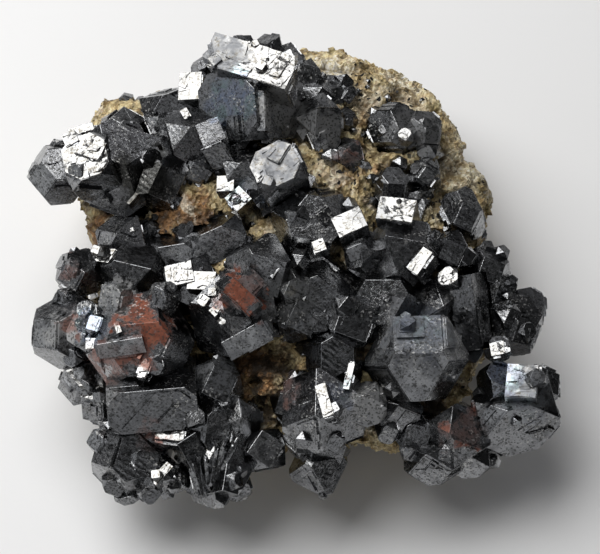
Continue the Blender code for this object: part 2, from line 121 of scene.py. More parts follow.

# Places on the crystals that are red-brown, under a painted blue reflection, under painted shade, under
# deeper painted shade, or rougher and lightened with painted light: u, v, radius and strength
RED_BROWN_PLACES = [
    (-33.5, -7.8, 3.8, 1.0), (-28.5, -10.4, 4.0, 1.0), (-37.8, -16.8, 4.6, 0.7), (-31.5, -15.6, 3.4, 0.8),
    (-46.5, -9.6, 2.6, 0.8), (-11.3, -3.2, 4.4, 1.0), (32.0, -31.2, 3.6, 0.9), (9.5, 24.8, 3.0, 0.7),
    (-29.0, -31.6, 3.2, 0.7), (-45.5, 1.0, 2.6, 0.5), (-3.0, -22.0, 3.0, 0.6),
]
SHEENS = [
    (-13.5, 36.0, 5.5, 0.9), (24.0, -9.0, 5.0, 0.7), (-41.5, -10.0, 3.8, 0.9), (40.5, -20.5, 4.0, 0.9),
    (9.0, -23.0, 3.2, 0.5), (-11.8, 16.0, 2.5, 0.5), (44.0, -26.0, 4.5, 0.4),
]
PAINTED_SHADE_PLACES = [
    (23.6, -10.6, 7.4, 1.0), (-4.0, 22.4, 5.6, 0.7), (45.0, -21.6, 5.0, 0.7), (-15.6, 45.0, 5.0, 0.7),
    (-13.6, -19.5, 5.0, 0.5), (-4.0, -6.0, 7.0, 0.6), (14.0, 12.4, 5.0, 0.3),
]
DEEP_PAINTED_SHADE_PLACES = [(-31.0, 19.4, 6.6, 0.9), (-2.0, -4.0, 6.0, 0.5)]
ROUGH_AND_PAINTED_LIGHT_PLACES = [
    (3.4, 30.4, 5.0, 0.9), (-3.8, 34.0, 4.6, 1.0), (24.0, 30.0, 6.0, 0.5), (-38.0, -22.0, 4.0, 0.5),
    (-47.6, -10.6, 3.8, 1.0), (-35.4, -3.8, 3.0, 0.7), (14.0, -25.0, 3.6, 0.8),
]

# Crystal faces that take more red-brown, by a place that each one's middle is near: u, v, radius, how much
RED_FACES = [(-12.2, -3.6, 1.6, 2.0), (-30.4, -10.4, 7.0, 1.15), (-35.0, -12.8, 1.6, 0.2)]

# Places on the matrix that are rust-coloured (in part painted shade), pale (in part painted light), and
# painted shade: u, v, radius, strength
RUST_AND_PAINTED_SHADE_PLACES = [
    (-24.0, 11.6, 6.4, 1.0), (-38.5, 8.5, 6.0, 1.0), (9.0, 22.0, 4.0, 0.7), (18.0, 21.0, 4.0, 0.8),
    (-9.0, -19.0, 6.5, 1.0), (-38.0, 27.5, 3.0, 0.5), (24.0, -28.0, 6.0, 0.7), (14.0, 35.0, 4.0, 0.5),
]
SHADY = [(-6.2, -19.0, 5.6, 0.9), (-8.6, -27.0, 4.2, 0.9), (24.0, -27.0, 6.0, 0.8), (-20.0, 8.4, 3.4, 0.5)]
PALE = [
    (5.4, 41.0, 5.6, 1.0), (13.0, 36.5, 4.0, 0.5), (33.6, 22.0, 6.0, 0.6), (-33.0, 30.4, 4.6, 0.7),
    (-2.4, 11.6, 3.4, 0.6), (22.0, 40.0, 5.0, 0.6), (27.0, 12.0, 4.0, 0.5),
]

# Small crystals that stand on the large ones: u, v, how far they stand out, half-width, corner cut (3 is a
# whole cube), then the way one cube face looks (toward, lean), the spin about it and the three stretches
LEFT_POINT_BLOCKS = [
    (-41.4, 24.6, 0.6, 2.6, 3, 118, 31, -22, (1.1, 0.8, 1)),
    (-44.2, 21.0, 0.8, 1.6, 2.4, 200, 28, 10, (1, 1, 1)),
    (-45.8, 27.4, 0.6, 1.5, 3, 130, 24, 30, (1, 1, 1)),
    (-30.4, 24.0, 0.8, 2.0, 2.2, -20, 20, 15, (1, 1, 1)),
    (-33.0, 15.8, 0.7, 1.4, 3, 110, 26, 50, (1.6, 0.3, 1)),
    (-44.0, 29.2, 1.0, 1.9, 3, 116, 28, 14, (1.4, 0.5, 1)),
    (-29.0, 31.6, 1.2, 2.4, 2.0, -50, 25, 20, (1, 1, 1)),
    (-34.4, 9.0, 0.6, 0.8, 3, 115, 25, 20, (1.4, 0.6, 1)),
]
CROWN_BLOCKS = [
    (-23.2, 33.0, 0.8, 1.0, 3, 115, 27, 30, (0.8, 1.2, 1)),
    (-18.4, 45.0, 0.9, 1.5, 2.1, 100, 30, 10, (1, 1, 1)),
    (-17.0, 43.6, 0.8, 1.1, 3, 120, 25, 40, (1, 1, 1)),
    (-19.6, 43.4, 0.8, 1.2, 2.3, 140, 35, 60, (1, 1, 1)),
    (-7.6, 33.4, 0.8, 1.3, 3, 182, 30, 2, (1, 3.2, 1)), (-12.6, 30.2, 0.5, 1.6, 3, 185, 40, 5, (1, 1.6, 1)),
    (-16.4, 25.6, 1.0, 2.4, 3, -100, 30, 25, (1, 1.1, 1)),
    (-4.0, 24.4, 0.7, 1.6, 3, 110, 30, 60, (1.4, 0.9, 1)),
    (-7.6, 19.8, 0.6, 1.2, 3, 118, 22, 20, (1, 1, 1)), (-10.0, 16.4, 0.8, 1.5, 2.6, 20, 20, 30, (1, 1, 1)),
]
RED_CRYSTAL_BLOCKS = [
    (-36.4, -4.2, 0.8, 2.3, 2.8, 184, 30, -14, (1, 1, 1)),
    (-26.8, -4.0, 0.8, 1.9, 2.2, 186, 30, 20, (0.8, 1.3, 1)),
    (-35.4, -10.2, 0.9, 0.9, 3, 116, 27, 20, (0.6, 1.4, 1)),
    (-35.0, -12.8, 0.8, 3.4, 3, -92, 20, 10, (1.4, 0.45, 1)),
    (-30.0, -18.0, 0.9, 1.6, 3, 112, 28, -15, (0.6, 1.6, 1)),
    (-31.0, -15.4, 0.6, 0.7, 3, 118, 27, -30, (0.5, 1.4, 1)),
    (-28.4, -17.0, 0.8, 1.6, 2.2, -88, 22, 15, (1, 1.1, 1)),
    (-40.8, -18.6, 0.5, 4.0, 3, 184, 34, -52, (1.2, 0.2, 1)),
    (-42.4, -6.6, 0.9, 1.7, 2.3, 150, 32, 45, (1, 1, 1)),
    (-40.4, -9.8, 1.0, 1.9, 2.2, 128, 24, 30, (1, 1, 1)),
    (-43.0, -12.4, 0.8, 1.4, 2.4, 186, 34, 10, (1, 1, 1)),
    (-41.0, -13.6, 0.8, 1.2, 3, 120, 28, 0, (1, 1, 1)),
    (-47.4, -4.6, 0.7, 2.0, 2.2, 170, 40, 15, (1, 1, 1)),
    (-45.2, -16.0, 0.7, 1.7, 2.3, 200, 34, 30, (1, 1, 1)),
    (-42.8, -22.0, 1.0, 1.8, 2.2, 190, 36, 20, (1, 1, 1)),
    (-40.2, -24.0, 0.9, 1.4, 2.1, 200, 30, 50, (1, 1, 1)),
    (-44.0, -19.6, 0.8, 1.3, 2.4, 160, 30, 10, (1, 1, 1)),
    (-34.6, -21.6, 0.4, 1.6, 3, -85, 24, 5, (1.8, 0.5, 1)),
]
LOWER_LEFT_BLOCKS = [
    (-25.2, -32.0, 0.9, 2.6, 3, 112, 27, -8, (1.1, 0.5, 1)),
    (-30.4, -31.6, 0.6, 2.2, 3, -60, 24, 5, (1.2, 0.7, 1)),
    (-39.6, -33.0, 0.8, 2.2, 2.2, 176, 36, 10, (1, 1, 1)),
    (-30.8, -36.4, 0.8, 2.6, 2.2, -20, 14, 30, (1, 1, 1)),
    (-37.0, -41.0, 0.9, 2.2, 2.2, -80, 30, 20, (1, 1, 1)),
    (-30.0, -42.6, 0.9, 1.9, 2.3, -70, 24, 50, (1, 1, 1)),
    (-24.4, -41.0, 0.9, 1.8, 2.4, -150, 28, 20, (1, 1, 1)),
    (-34.4, -44.0, 0.8, 1.6, 2.2, -95, 30, 15, (1.7, 0.6, 1)),
    (-13.4, -40.4, 0.8, 1.6, 2.3, 200, 28, 20, (1, 1, 1)),
    (-11.8, -38.4, 0.8, 1.1, 2.2, 186, 34, 50, (1, 1, 1)),
    (-20.8, -27.6, 0.9, 1.8, 2.0, 60, 20, 10, (1, 1, 1)),
]
CENTRE_BLOCKS = [
    (-12.2, -3.6, 0.9, 1.8, 3, 40, 12, -44, (2.6, 1.0, 1)),
    (-18.6, -5.0, 0.8, 1.3, 2.2, 120, 26, 10, (1, 1, 1)),
    (-16.4, -7.0, 0.8, 1.0, 3, 112, 30, 45, (1, 1, 1)),
    (-15.2, -8.8, 0.7, 0.9, 2.4, 100, 24, 30, (1, 1, 1)), (-17.0, -3.2, 0.7, 0.9, 3, 120, 26, 0, (1, 1, 1)),
    (-10.6, -11.0, 0.7, 3.6, 3, -84, 24, 32, (1.3, 0.6, 1)),
    (-1.4, -3.4, 0.9, 2.6, 2.0, 30, 16, 20, (1, 1, 1)), (3.6, -9.0, 0.9, 2.2, 2.0, -20, 14, 50, (1, 1, 1)),
    (9.2, -6.0, 0.9, 2.0, 2.1, 10, 12, 5, (1, 1, 1)), (6.4, 2.0, 0.6, 1.6, 3, 112, 26, -40, (1.3, 0.14, 1)),
    (-4.4, 0.6, 0.6, 1.3, 3, 118, 28, 60, (1.3, 0.16, 1)),
    (11.4, 5.6, 0.8, 2.2, 2.6, -88, 20, 25, (1, 0.7, 1)),
    (24.4, 13.0, 0.8, 2.6, 2.4, 174, 28, -20, (0.8, 1.3, 1)),
    (26.2, 6.6, 0.8, 1.6, 2.3, 178, 30, -30, (0.6, 1.8, 1)),
    (5.0, 12.0, 0.8, 1.5, 3, -30, 10, 35, (1, 1, 1)), (-0.4, 12.0, 0.8, 2.2, 2.1, -70, 30, 20, (1, 1, 1)),
    (33.4, 4.0, 0.8, 1.8, 2.1, 20, 20, 10, (1, 1, 1)),
    (1.6, -24.0, 0.7, 1.4, 3, -60, 30, 20, (1.6, 0.3, 1)),
    (6.6, -32.0, 0.7, 1.8, 2.2, -80, 25, 10, (1, 1, 1)),
    (17.6, -30.4, 0.9, 2.2, 2.1, -90, 26, 20, (1, 1, 1)),
]
RIGHT_BLOCKS = [
    (42.0, -8.0, 0.8, 2.2, 2.1, -30, 25, 20, (1, 1, 1)),
    (45.4, -11.0, 0.8, 1.6, 2.2, 20, 30, 50, (1, 1, 1)), (39.8, -14.8, 0.8, 1.4, 3, 120, 28, 10, (1, 1, 1)),
    (46.6, -20.4, 0.8, 1.6, 2.2, 60, 35, 20, (1, 1, 1)),
    (36.6, -25.8, 0.8, 2.0, 2.2, -60, 30, 10, (1, 1, 1)),
    (29.0, -34.6, 0.8, 2.0, 2.1, -80, 26, 40, (1, 1, 1)),
    (22.0, -34.6, 0.8, 1.8, 2.1, -60, 35, 15, (1, 1, 1)),
    (17.0, 30.0, 0.7, 1.2, 2.2, 80, 30, 10, (1, 1, 1)), (25.6, 31.4, 0.7, 1.1, 2.4, 30, 30, 20, (1, 1, 1)),
]

# The fan of thin plates at the lower left: how many, where the first and last stand, and how they turn
FAN_PLATES = 11
FAN_FIRST, FAN_LAST = (-23.4, -41.6), (-13.6, -34.6)
FAN_SPINS = (34, -36)


def turn_of(toward, lean, spin):
    """The rotation that leans an axis from w towards a direction in the face, then spins about that axis."""
    swing = Matrix.Rotation(math.radians(toward), 3, "Z")
    tip = Matrix.Rotation(math.radians(lean), 3, "Y")
    return swing @ tip @ swing.inverted() @ Matrix.Rotation(math.radians(spin), 3, "Z")


def face_direction(toward, lean):
    """The unit vector that leans from w towards a direction in the face."""
    swing, tip = math.radians(toward), math.radians(lean)
    return Vector((math.sin(tip) * math.cos(swing), math.sin(tip) * math.sin(swing), math.cos(tip)))


def ease(value, low, high):
    share = min(max((value - low) / (high - low), 0), 1)
    return share * share * (3 - 2 * share)


def keep_in_box(mesh):
    """Presses any point back that stands out of the CAD model's box."""
    low, high = CAD_BOX
    for vert in mesh.vertices:
        vert.co = [min(max(c, a), b) for c, a, b in zip(vert.co, low, high)]


def linked(mesh, name):
    piece = bpy.data.objects.new(name, mesh)
    bpy.context.scene.collection.objects.link(piece)
    return piece


def worked_mesh(piece):
    """The piece's mesh with its modifiers applied."""
    graph = bpy.context.evaluated_depsgraph_get()
    return bpy.data.meshes.new_from_object(piece.evaluated_get(graph))


# Nodes


class Tree:
    """Short ways to add and join nodes."""

    def __init__(self, tree):
        self.tree = tree
        tree.nodes.clear()

    def add(self, kind, inputs=(), **settings):
        node = self.tree.nodes.new(kind)
        for name, value in settings.items():
            setattr(node, name, value)
        for key, value in dict(inputs).items():
            self.feed(node.inputs[key], value)
        return node

    def feed(self, socket, value):
        if isinstance(value, bpy.types.NodeSocket):
            self.tree.links.new(value, socket)
        elif isinstance(value, bpy.types.Node):
            self.tree.links.new(value.outputs[0], socket)
        elif isinstance(value, tuple) and len(value) == 3 and socket.type == "RGBA":
            socket.default_value = (*value, 1)
        else:
            socket.default_value = value

    def math(self, operation, a, b=0.0, clamp=False):
        return self.add("ShaderNodeMath", {0: a, 1: b}, operation=operation, use_clamp=clamp)

    def vector(self, operation, a, b):
        return self.add("ShaderNodeVectorMath", {0: a, 1: b}, operation=operation)

    def mix(self, share, a, b, blend="MIX"):
        node = self.add("ShaderNodeMix", data_type="RGBA", blend_type=blend)
        self.feed(node.inputs[0], share)
        self.feed(node.inputs[6], a)
        self.feed(node.inputs[7], b)
        return node.outputs[2]

    def noise(self, place, scale, detail=4.0, rough=0.55, distort=0.0):
        return self.add(
            "ShaderNodeTexNoise",
            {"Vector": place, "Scale": scale, "Detail": detail, "Roughness": rough, "Distortion": distort},
        ).outputs[0]

    def cells(self, place, scale):
        """The distance of each point from the middle of its cell."""
        return self.add("ShaderNodeTexVoronoi", {"Vector": place, "Scale": scale}).outputs["Distance"]

    def cell_value(self, place, scale):
        """One random value for each cell."""
        cell = self.add("ShaderNodeTexVoronoi", {"Vector": place, "Scale": scale})
        return self.add("ShaderNodeSeparateColor", {0: cell.outputs["Color"]}).outputs[0]

    def step(self, value, low, high, kind="SMOOTHSTEP"):
        given = {"Value": value, "From Min": low, "From Max": high}
        return self.add("ShaderNodeMapRange", given, interpolation_type=kind).outputs[0]

    def near_places(self, place, places):
        """How strongly a point lies in one of the places, which are round but ragged, seen along the face."""
        ragged = self.add(
            "ShaderNodeTexNoise", {"Vector": place, "Scale": 200, "Detail": 4.0, "Roughness": 0.6}
        )
        centred = self.vector("SUBTRACT", ragged.outputs["Color"], tuple(HALF))
        shift = self.add("ShaderNodeVectorMath", {0: centred, 3: RAGGED}, operation="SCALE")
        place = self.vector("ADD", place, shift)
        offset = self.vector("SUBTRACT", place, tuple(FACE_ORIGIN * MM))
        flat = self.add("ShaderNodeCombineXYZ")
        for index in range(2):
            axis = FACE_TO_ROW.to_3x3().col[index] / MM
            self.feed(flat.inputs[index], self.vector("DOT_PRODUCT", offset, tuple(axis)).outputs["Value"])
        total = 0.0
        for u, v, radius, strength in places:
            away = self.vector("DISTANCE", flat, (u, v, 0)).outputs["Value"]
            inside = self.step(away, radius * PLACE_OUTSIDE, radius * PLACE_INSIDE)
            total = self.math("MAXIMUM", total, self.math("MULTIPLY", inside, strength))
        return total

    def ramp(self, value, stops):
        node = self.add("ShaderNodeValToRGB", {"Fac": value})
        marks = node.color_ramp.elements
        while len(marks) < len(stops):
            marks.new(0.5)
        for mark, (place, colour) in zip(marks, stops):
            mark.position = place
            mark.color = (*colour, 1)
        return node.outputs[0]

    def bump(self, height, distance, strength=1.0, normal=None):
        node = self.add("ShaderNodeBump", {"Height": height, "Distance": distance * MM, "Strength": strength})
        if normal:
            self.feed(node.inputs["Normal"], normal)
        return node.outputs[0]


def new_material(name):
    material = bpy.data.materials.new(name)
    material.use_nodes = True
    return material, Tree(material.node_tree)


def finish_shader(tree, **inputs):
    named = {key.replace("_", " "): value for key, value in inputs.items()}
    shader = tree.add("ShaderNodeBsdfPrincipled", named)
    tree.add("ShaderNodeOutputMaterial", {"Surface": shader})


# Materials


def galena_material():
    """Lead-grey metal. face_look is a face's tone, cleavage, red-brown share (past 1 it covers all) and share
    of painted blue reflection.
    """
    material, t = new_material("galena")
    place = t.add("ShaderNodeTexCoord").outputs["Object"]
    look = t.add("ShaderNodeAttribute", attribute_name="face_look")
    parts = t.add("ShaderNodeSeparateColor", {0: look.outputs["Color"]})
    tone, cleaved, takes_red_brown = parts.outputs[0], parts.outputs[1], parts.outputs[2]
    takes_sheen = look.outputs["Alpha"]

    broad = t.noise(place, 90, 3)
    patchy = t.noise(place, 380, 6, 0.7)
    fine = t.noise(place, 2300, 4, 0.65)

    base = t.ramp(tone, [(0.0, (0.2, 0.203, 0.21)), (0.5, (0.28, 0.285, 0.295)), (1.0, (0.36, 0.365, 0.37))])
    base = t.mix(t.step(patchy, 0.4, 0.72), base, (0.13, 0.132, 0.137))
    colour = t.mix(cleaved, base, t.ramp(patchy, [(0.3, (0.3, 0.3, 0.3)), (0.7, (0.2, 0.198, 0.19))]))
    # Painted blue reflection, on faces near the listed places
    shimmer = t.ramp(
        t.noise(place, 130, 4, 0.6, 1.5),
        [
            (0.3, (0.13, 0.19, 0.32)), (0.45, (0.22, 0.25, 0.33)),
            (0.55, (0.17, 0.27, 0.28)), (0.7, (0.27, 0.22, 0.3)),
        ],
    )
    sheen = t.math("MULTIPLY", t.near_places(place, SHEENS), takes_sheen)
    colour = t.mix(t.math("MULTIPLY", sheen, 0.6), colour, shimmer)
    # Painted shade: faces near these places are darkened, and made rougher and less metallic
    painted_shade = t.math("MULTIPLY", t.near_places(place, PAINTED_SHADE_PLACES), t.step(patchy, 0.75, 0.35))
    colour = t.mix(painted_shade, colour, (0.07, 0.077, 0.09))
    # Deeper painted shade on the dark side of crystals
    colour = t.mix(t.near_places(place, DEEP_PAINTED_SHADE_PLACES), colour, (0.05, 0.05, 0.046))
    # Rougher places, lightened to grey as painted light
    rough_and_painted_light = t.near_places(place, ROUGH_AND_PAINTED_LIGHT_PLACES)
    colour = t.mix(t.math("MULTIPLY", rough_and_painted_light, 0.6), colour, (0.42, 0.42, 0.415))
    # Red-brown patches on faces near the listed places, thinner where worn
    red = t.ramp(
        patchy, [(0.35, (0.1, 0.03, 0.017)), (0.55, (0.22, 0.068, 0.038)), (0.7, (0.29, 0.11, 0.066))]
    )
    red_brown = t.math("MULTIPLY", t.near_places(place, RED_BROWN_PLACES), takes_red_brown)
    worn = t.step(t.noise(place, 300, 6, 0.7), 0.36, 0.5)
    thin = t.math("MAXIMUM", worn, t.math("SUBTRACT", takes_red_brown, 1.0))
    red_brown = t.math("MULTIPLY", red_brown, thin, True)
    colour = t.mix(red_brown, colour, red)
    dust = t.math("MULTIPLY", t.step(t.noise(place, 210, 8, 0.75), 0.58, 0.72), 0.45)
    crust = t.math("MULTIPLY", dust, t.math("SUBTRACT", 1.0, cleaved))
    colour = t.mix(crust, colour, (0.12, 0.105, 0.07))
    speckle = t.cell_value(place, 3300)
    sandy = t.step(t.noise(place, 120, 4, 0.6), 0.48, 0.66)
    uncleaved = t.math("SUBTRACT", 1.0, cleaved)
    glints = t.math("MULTIPLY", t.math("MULTIPLY", t.step(speckle, 0.86, 0.92), sandy), uncleaved)
    # Painted shade: dark specks in pits of the uncleaved faces
    painted_pit_shade = t.math("MULTIPLY", t.step(speckle, 0.24, 0.16), t.math("MULTIPLY", uncleaved, 0.7))
    colour = t.mix(painted_pit_shade, colour, (0.03, 0.03, 0.026))
    colour = t.mix(t.math("MULTIPLY", glints, 0.6), colour, (0.7, 0.69, 0.66))

    tarnish = t.math("MULTIPLY", t.step(t.noise(place, 1500, 4, 0.7), 0.5, 0.62), t.step(patchy, 0.38, 0.56))
    tarnish = t.math("MULTIPLY", tarnish, t.math("MULTIPLY", cleaved, 0.85))
    colour = t.mix(tarnish, colour, (0.09, 0.08, 0.062))

    rough = t.math("ADD", 0.09, t.math("MULTIPLY", patchy, 0.15))
    rough = t.math("ADD", rough, t.math("MULTIPLY", tone, 0.08))
    rough = t.math("ADD", rough, t.math("MULTIPLY", red_brown, 0.15))
    rough = t.math("ADD", rough, t.math("MULTIPLY", crust, 0.5))
    rough = t.math("ADD", rough, t.math("MULTIPLY", glints, 0.3))
    rough = t.math("ADD", rough, t.math("MULTIPLY", t.math("MAXIMUM", painted_shade, rough_and_painted_light), 0.34))
    unmetallic = t.math("MAXIMUM", t.math("MULTIPLY", red_brown, 0.9), t.math("MULTIPLY", painted_shade, 0.6))
    metal = t.math("SUBTRACT", 1.0, t.math("MAXIMUM", unmetallic, crust))

    swell = t.bump(broad, 0.5, 0.25)
    lines = t.add(
        "ShaderNodeTexWave",
        {"Vector": place, "Scale": 330, "Distortion": 3.0, "Detail": 3.0, "Detail Scale": 1.2},
        bands_direction="DIAGONAL",
    ).outputs[1]
    lines = t.math("MULTIPLY", lines, t.step(t.noise(place, 130, 2), 0.46, 0.6))
    growth = t.bump(lines, 0.05, 0.4, swell)
    pits = t.math("MULTIPLY", t.step(t.cells(place, 1100), 0.0, 0.4), t.step(patchy, 0.4, 0.6))
    pits = t.math("MULTIPLY", pits, uncleaved)
    pitted = t.bump(pits, 0.07, 0.4, growth)
    grainy = t.bump(fine, 0.04, 0.35, pitted)
    crumple = t.bump(t.math("MULTIPLY", t.noise(place, 230, 3, 0.5, 0.6), cleaved), 0.9, 0.6, grainy)
    broken = t.bump(t.math("MULTIPLY", t.cells(place, 750), cleaved), 0.16, 0.7, crumple)
    finish_shader(t, Base_Color=colour, Metallic=metal, Roughness=rough, Normal=broken)
    return material


def siderite_material():
    """Granular carbonate: cream, tan, olive, rust and dark ore specks, with painted light and shade in
    places. depth is how sunken a point is; it darkens as painted shade.
    """
    material, t = new_material("siderite")
    place = t.add("ShaderNodeTexCoord").outputs["Object"]
    depth = t.add("ShaderNodeAttribute", attribute_name="depth").outputs["Fac"]
    mottled = t.noise(place, 260, 6, 0.7)
    grey_of_grain = t.cell_value(place, 1300)

    base = t.ramp(
        mottled,
        [
            (0.28, (0.1, 0.06, 0.022)), (0.4, (0.27, 0.19, 0.085)), (0.5, (0.46, 0.37, 0.2)),
            (0.6, (0.62, 0.53, 0.34)), (0.72, (0.8, 0.75, 0.6)),
        ],
    )
    # Rust colour; in some listed places also painted shade
    rust_and_painted_shade = t.math("MULTIPLY", t.step(t.noise(place, 85, 5, 0.65), 0.52, 0.68), 0.6)
    rust_and_painted_shade = t.math("MAXIMUM", rust_and_painted_shade, t.math("MULTIPLY", t.near_places(place, RUST_AND_PAINTED_SHADE_PLACES), 0.95))
    warm = t.mix(rust_and_painted_shade, base, t.ramp(mottled, [(0.35, (0.05, 0.022, 0.009)), (0.65, (0.3, 0.15, 0.055))]))
    olive = t.math("MULTIPLY", t.step(t.noise(place, 140, 5, 0.65), 0.5, 0.62), 0.5)
    colour = t.mix(olive, warm, (0.19, 0.175, 0.09))
    pale = t.math("MULTIPLY", t.step(t.noise(place, 170, 5, 0.65, 0.8), 0.54, 0.66), 0.55)
    # Pale places, in part painted light
    pale_and_painted_light = t.math("MULTIPLY", t.near_places(place, PALE), t.step(mottled, 0.36, 0.56))
    pale = t.math("MAXIMUM", pale, pale_and_painted_light)
    colour = t.mix(pale, colour, (0.75, 0.7, 0.58))
    shades = t.ramp(grey_of_grain, [(0.0, (0.16, 0.15, 0.13)), (1.0, (0.84, 0.84, 0.84))])
    colour = t.mix(0.6, colour, shades, "OVERLAY")
    small_shades = t.ramp(t.cell_value(place, 2700), [(0.0, (0.2, 0.18, 0.14)), (1.0, (0.8, 0.81, 0.82))])
    colour = t.mix(0.5, colour, small_shades, "OVERLAY")
    speck = t.math("MULTIPLY", t.step(grey_of_grain, 0.86, 0.9), t.step(t.noise(place, 80, 3), 0.44, 0.57))
    colour = t.mix(speck, colour, (0.035, 0.034, 0.036))
    # Painted shade in sunken places
    colour = t.mix(t.math("MULTIPLY", t.step(depth, 0.1, 0.8), 0.66), colour, (0.05, 0.033, 0.018))
    shady = t.math("MULTIPLY", t.near_places(place, SHADY), t.step(mottled, 0.62, 0.48))
    colour = t.mix(shady, colour, (0.035, 0.025, 0.016))

    rough = t.math("ADD", 0.38, t.math("MULTIPLY", grey_of_grain, 0.47))
    lumpy = t.bump(t.noise(place, 700, 5, 0.7), 0.5, 0.6)
    grainy = t.bump(t.cells(place, 1300), 0.35, 0.6, lumpy)
    metal = t.math("MULTIPLY", speck, 0.8)
    finish_shader(t, Base_Color=colour, Metallic=metal, Roughness=rough, Normal=grainy)
    return material


def floor_material():
    material, t = new_material("pale floor")
    place = t.add("ShaderNodeTexCoord").outputs["Object"]
    colour = t.mix(t.noise(place, 6, 3), (0.76, 0.76, 0.76), (0.82, 0.82, 0.82))
    finish_shader(t, Base_Color=colour, Roughness=0.75, Normal=t.bump(t.noise(place, 900, 2), 0.05, 0.3))
    return material


# The galena crystals


def flat_faced(node):
    """The CAD node's mesh as flat many-sided faces."""
    shape = bmesh.new()
    shape.from_mesh(node.data)
    bmesh.ops.transform(shape, matrix=node.matrix_world, verts=shape.verts)
    bmesh.ops.remove_doubles(shape, verts=shape.verts, dist=WELD * MM)
    flat = math.radians(FLAT_ENOUGH)
    bmesh.ops.dissolve_limit(shape, angle_limit=flat, verts=shape.verts, edges=shape.edges)
    return shape


def clip(points, start, inward):
    """A flat polygon cut down to the side of a line that inward points to."""
    kept = []
    for here, after in zip(points, points[1:] + points[:1]):
        side, next_side = (here - start).dot(inward), (after - start).dot(inward)
        if side >= 0:
            kept.append(here)
        if (side < 0) != (next_side < 0):
            kept.append(here.lerp(after, side / (side - next_side)))
    return kept


def area_of(points):
    return abs(sum(a.cross(b) for a, b in zip(points, points[1:] + points[:1]))) / 2


def shrunk(points, margins):
    """A polygon with each side moved inward by its own margin."""
    turning = 1 if sum(a.cross(b) for a, b in zip(points, points[1:] + points[:1])) > 0 else -1
    kept = list(points)
    for (a, b), margin in zip(zip(points, points[1:] + points[:1]), margins):
        if (b - a).length < 1e-6 or len(kept) < 3:
            continue
        along = (b - a).normalized()
        inward = Vector((-along.y, along.x)) * turning
        kept = clip(kept, a + inward * margin, inward)
    return kept if len(kept) > 2 else []


class FlatFace:
    """One flat face of a crystal, with its own axes and its look."""

    def __init__(self, face, chance):
        self.normal = face.normal.copy()
        longest = max(face.edges, key=lambda edge: edge.calc_length())
        self.across = (longest.verts[1].co - longest.verts[0].co).normalized()
        self.up = self.normal.cross(self.across)
        self.middle = face.calc_center_median()
        self.outline = [self.flat(loop.vert.co) for loop in face.loops]
        self.size = face.calc_area() / MM**2
        self.facing = ROW_TO_FACE.to_3x3() @ self.normal
        self.cleaved = self.size > SMALLEST_CLEAVED and any(
            self.facing.angle(face_direction(toward, lean)) < math.radians(off)
            for toward, lean, off in CLEAVED
        )
        takes_red_brown = chance.choice((0.4, 0.8, 1.0))
        at = ROW_TO_FACE @ self.middle / MM
        for u, v, radius, red_brown_share in RED_FACES:
            if self.facing.z > 0.5 and (at.xy - Vector((u, v))).length < radius:
                takes_red_brown = red_brown_share
        tone = chance.random()
        takes_sheen = chance.choice((0.4, 1.0))
        self.look = (tone, float(self.cleaved), takes_red_brown, takes_sheen)

    def flat(self, point):
        offset = point - self.middle
        return Vector((offset.dot(self.across), offset.dot(self.up)))

    def solid(self, point, height):
        return self.middle + self.across * point.x + self.up * point.y + self.normal * height


def raise_plate(shape, layer, face, outline, low, high, tilt, chance):
    """A thin growth plate on a crystal face: a flat top and its sloping sides."""
    slope = Vector((chance.uniform(-tilt, tilt), chance.uniform(-tilt, tilt)))
    middle = sum(outline, Vector((0, 0))) / len(outline)
    foot = [shape.verts.new(face.solid(point, low)) for point in outline]
    top = [
        shape.verts.new(face.solid(point.lerp(middle, PLATE_TAPER), high + slope.dot(point - middle)))
        for point in outline
    ]
    look = (min(max(face.look[0] + chance.uniform(-0.25, 0.25), 0), 1), *face.look[1:])
    made = [shape.faces.new(top)]
    for a, b, c, d in zip(foot, foot[1:] + foot[:1], top[1:] + top[:1], top):
        made.append(shape.faces.new((a, b, c, d)))
    for part in made:
        part[layer] = look


def plates_on(shape, layer, face, chance):
    """Parallel growth: stacks of nested plates whose edges follow the crystal's own."""
    for _ in range(chance.choice((1, 1, 2, 3))):
        outline = face.outline
        low, high = -0.06 * MM, 0.0
        for _ in range(chance.choice((1, 2, 2, 3))):
            extent = math.sqrt(area_of(outline))
            margins = [
                chance.choice((0.02, 0.05, 0.1, 0.35, 0.55)) * extent * chance.uniform(0.5, 1.1) + 0.1 * MM
                for _ in outline
            ]
            outline = shrunk(outline, margins)
            if len(outline) < 3 or area_of(outline) < SMALLEST_PLATE * MM**2:
                break
            high += chance.choice((0.06, 0.12, 0.2, 0.45)) * chance.uniform(0.8, 1.2) * MM
            raise_plate(shape, layer, face, outline, low, high, PLATE_TILT, chance)
            low = high - 0.05 * MM


def splinters_on(shape, layer, face, chance):
    """A cleaved face: many small broken steps, each tipped a little its own way."""
    reach = math.sqrt(face.size) * MM
    for _ in range(int(4 + face.size / 2.2)):
        outline = shrunk(face.outline, [chance.uniform(0.0, 0.2) * MM for _ in face.outline])
        focus = Vector((chance.uniform(-0.6, 0.6), chance.uniform(-0.6, 0.6))) * reach
        bearing = chance.choice((0, math.pi / 2)) + chance.gauss(0, 0.22)
        for side in range(4):
            angle = bearing + side * math.pi / 2 + chance.gauss(0, 0.18)
            outward = Vector((math.cos(angle), math.sin(angle)))
            half = chance.uniform(0.08, 0.34) * reach
            if len(outline) > 2:
                outline = clip(outline, focus + outward * half, -outward)
        if len(outline) > 2 and area_of(outline) > SMALLEST_SPLINTER * MM**2:
            high = chance.uniform(0.03, 0.34) * MM
            raise_plate(shape, layer, face, outline, -0.1 * MM, high, SPLINTER_TILT, chance)


